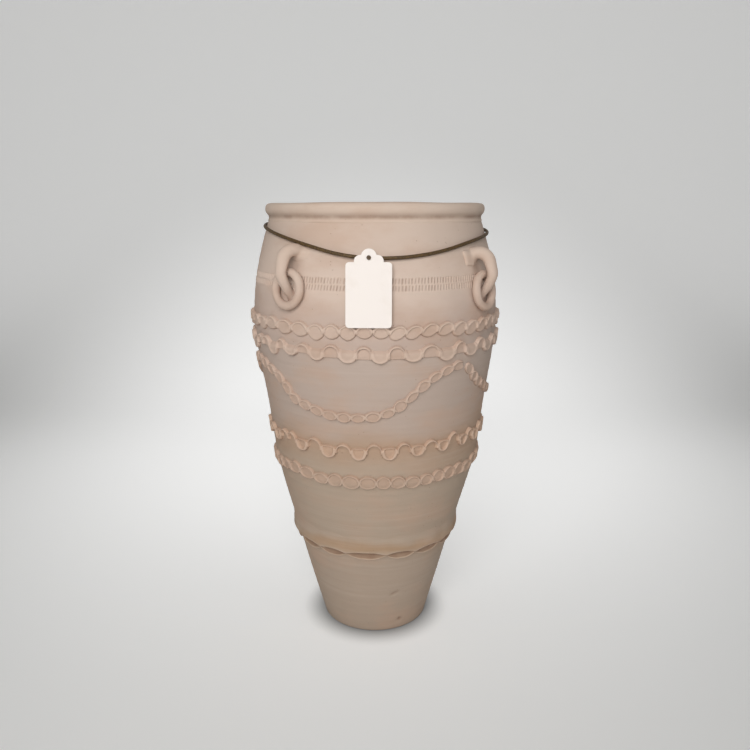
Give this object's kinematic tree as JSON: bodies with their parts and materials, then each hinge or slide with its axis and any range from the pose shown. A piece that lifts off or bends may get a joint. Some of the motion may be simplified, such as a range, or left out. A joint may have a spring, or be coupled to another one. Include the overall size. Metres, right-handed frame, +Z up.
{
  "type": "clay storage jar",
  "caption": "Tall clay storage jar with a rolled lip, pressed clay ropes, loose rings in ear handles and a blank card on a cord.",
  "frame": {"origin": "centre of the flat base that the jar stands on", "axes": "+Z up along the jar's axis, -Y towards the front where the card hangs"},
  "size_m": [0.4014, 0.4045, 0.7],
  "materials": {
    "clay": "matt fired clay",
    "rope_clay": "matt fired clay, finger pressed",
    "cord": "dull waxed cord",
    "card": "plain uncoated card"
  },
  "bodies": {
    "jar": {"foot_wall": "clay", "waist_wall": "clay", "shoulder_wall": "clay", "lip": "clay", "shoulder_rope": "rope_clay", "wave_rope": "rope_clay", "festoon_1": "rope_clay", "festoon_2": "rope_clay", "festoon_3": "rope_clay", "pocket_rope": "rope_clay", "pearl_rope": "rope_clay", "joint_collar": "rope_clay", "joint_strip": "rope_clay", "handle_front_left": "clay", "handle_front_right": "clay", "handle_back_right": "clay", "handle_back_left": "clay", "neck_cord": "cord", "cord_knot": "cord"},
    "ring_front_left": {"ring_front_left": "clay"},
    "ring_front_right": {"ring_front_right": "clay"},
    "ring_back_right": {"ring_back_right": "clay"},
    "ring_back_left": {"ring_back_left": "clay"},
    "card": {"tag": "card", "tag_tie": "cord"}
  },
  "joints": [
    {"name": "ring_front_left_swing", "type": "hinge", "parent": "jar", "child": "ring_front_left", "pos_m": [-0.12065, -0.15006, 0.6045], "axis": [-0.7793, 0.6266, 0], "range_deg": [0, 100]},
    {"name": "ring_front_right_swing", "type": "hinge", "parent": "jar", "child": "ring_front_right", "pos_m": [0.15632, -0.11441, 0.5985], "axis": [-0.5906, -0.807, 0], "range_deg": [0, 100]},
    {"name": "ring_back_right_swing", "type": "hinge", "parent": "jar", "child": "ring_back_right", "pos_m": [0.12273, 0.14888, 0.6025], "axis": [0.7716, -0.6361, 0], "range_deg": [0, 100]},
    {"name": "ring_back_left_swing", "type": "hinge", "parent": "jar", "child": "ring_back_left", "pos_m": [-0.14633, 0.12498, 0.605], "axis": [0.6494, 0.7604, 0], "range_deg": [0, 100]},
    {"name": "card_swing", "type": "hinge", "parent": "jar", "child": "card", "pos_m": [-0.00805, -0.18526, 0.6265], "axis": [-0.9991, 0.0434, 0], "range_deg": [0, 45]}
  ]
}
